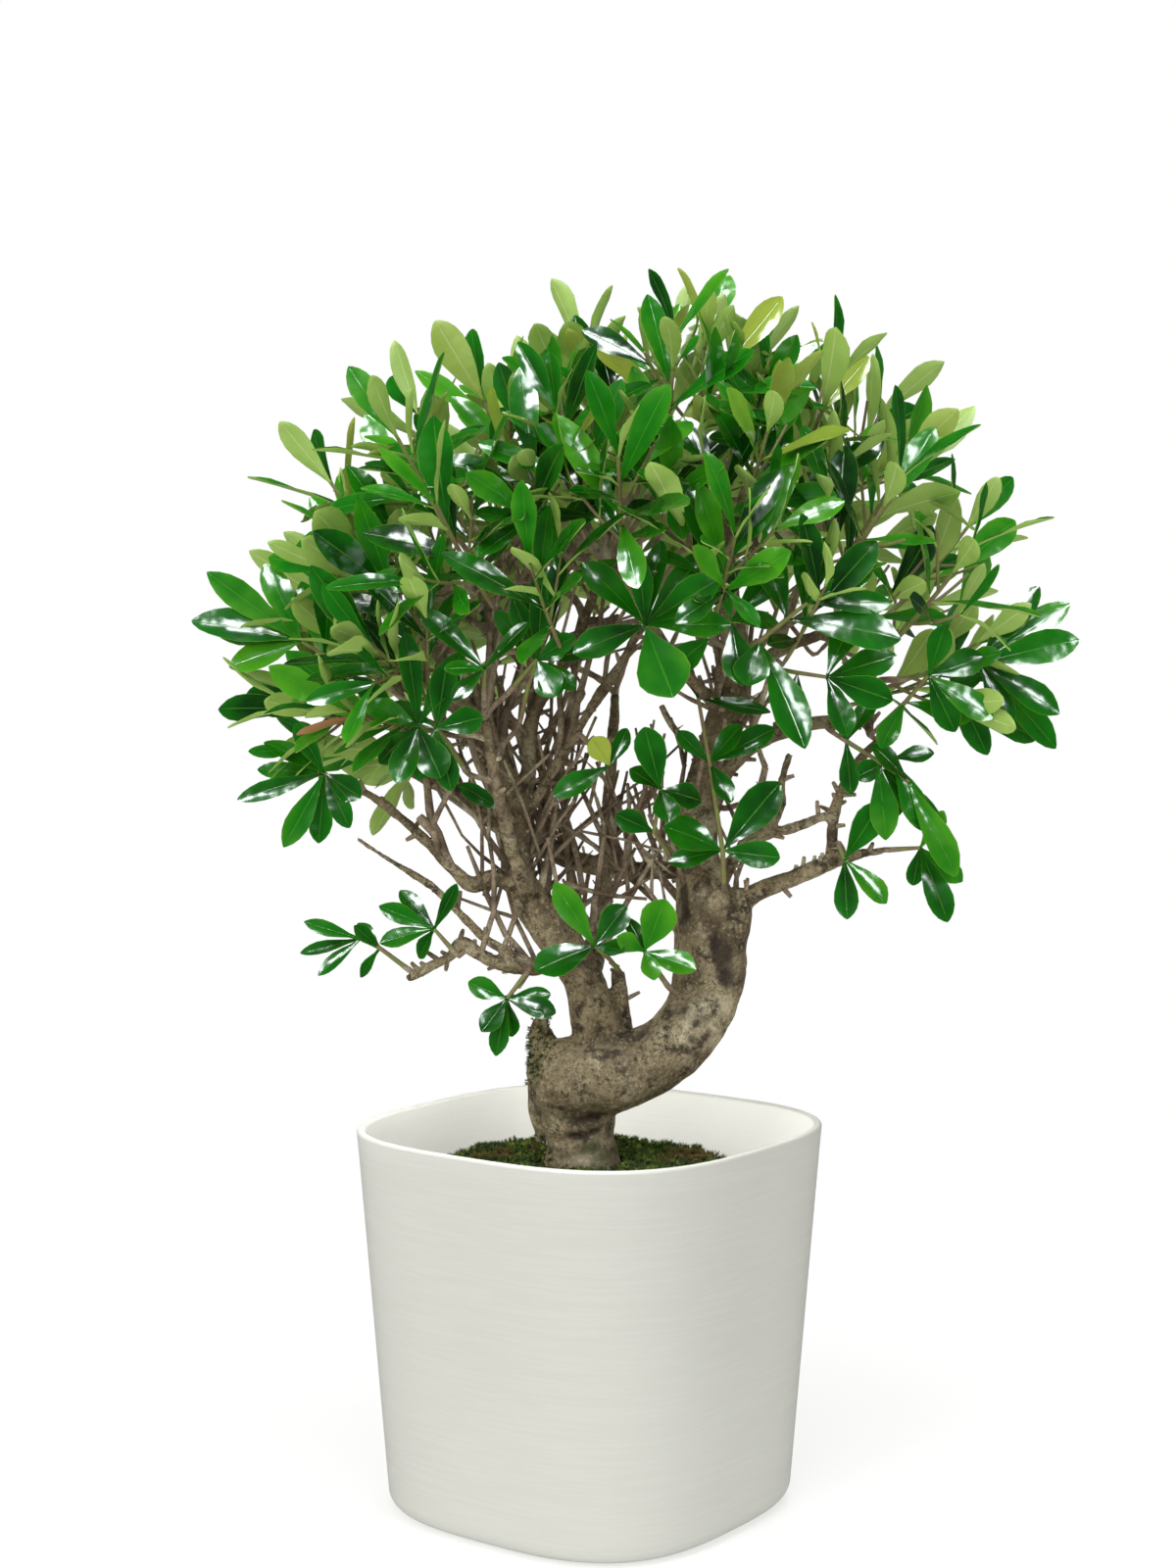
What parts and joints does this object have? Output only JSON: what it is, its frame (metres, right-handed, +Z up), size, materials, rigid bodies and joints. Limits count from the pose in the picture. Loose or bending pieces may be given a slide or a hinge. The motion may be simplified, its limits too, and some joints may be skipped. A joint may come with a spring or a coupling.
{
  "type": "olive bonsai in a planter",
  "caption": "Olive bonsai with a swept old trunk, open forked branches and a round leafy crown, in a tall square-round tapered white planter.",
  "frame": {"origin": "centre of the planter's flat underside, on the surface that it stands on", "axes": "+Z up; the front faces -Y and the trunk's foot leans to -X before it sweeps to +X; +X is right as seen from the front"},
  "size_m": [0.4592, 0.3223, 0.6584],
  "materials": {
    "planter": "matte off-white with fine horizontal brushed streaks and a smooth rounded lip",
    "potting_mix": "dark crumbly bark-based potting mix; wood's density stands in for it",
    "moss": "dull uneven cushion of green moss with brown patches; fabric's density stands in for it",
    "bark": "mottled grey-brown bark, speckled and finely cracked, smoother and browner on the twigs",
    "foliage": "glossy deep green leaves with a pale midrib and margin, duller grey-green below; leather's density stands in for leaves"
  },
  "bodies": {
    "root": {"moss": "moss", "planter": "planter", "potting_mix": "potting_mix", "root_ball": "potting_mix", "spray_centre_left": "foliage", "spray_crown_01": "foliage", "spray_crown_02": "foliage", "spray_crown_03": "foliage", "spray_crown_04": "foliage", "spray_crown_05": "foliage", "spray_crown_06": "foliage", "spray_crown_07": "foliage", "spray_crown_08": "foliage", "spray_crown_09": "foliage", "spray_crown_10": "foliage", "spray_crown_11": "foliage", "spray_crown_12": "foliage", "spray_crown_13": "foliage", "spray_crown_14": "foliage", "spray_crown_15": "foliage", "spray_crown_16": "foliage", "spray_crown_17": "foliage", "spray_crown_18": "foliage", "spray_crown_19": "foliage", "spray_crown_20": "foliage", "spray_crown_21": "foliage", "spray_crown_22": "foliage", "spray_crown_23": "foliage", "spray_crown_24": "foliage", "spray_crown_25": "foliage", "spray_crown_26": "foliage", "spray_crown_27": "foliage", "spray_crown_28": "foliage", "spray_crown_29": "foliage", "spray_crown_30": "foliage", "spray_crown_31": "foliage", "spray_crown_32": "foliage", "spray_crown_33": "foliage", "spray_crown_34": "foliage", "spray_drape": "foliage", "spray_droop": "foliage", "spray_far_left": "foliage", "spray_far_right": "foliage", "spray_fork": "foliage", "spray_hanging": "foliage", "spray_heart": "foliage", "spray_left_end": "foliage", "spray_left_hub": "foliage", "spray_low_left": "foliage", "spray_low_tip": "foliage", "spray_middle": "foliage", "spray_near": "foliage", "spray_pale": "foliage", "spray_right_drop": "foliage", "spray_right_end": "foliage", "spray_right_hub": "foliage", "spray_right_upper": "foliage", "spray_sucker": "foliage", "spray_trunk": "foliage", "tree": "bark"}
  },
  "joints": []
}
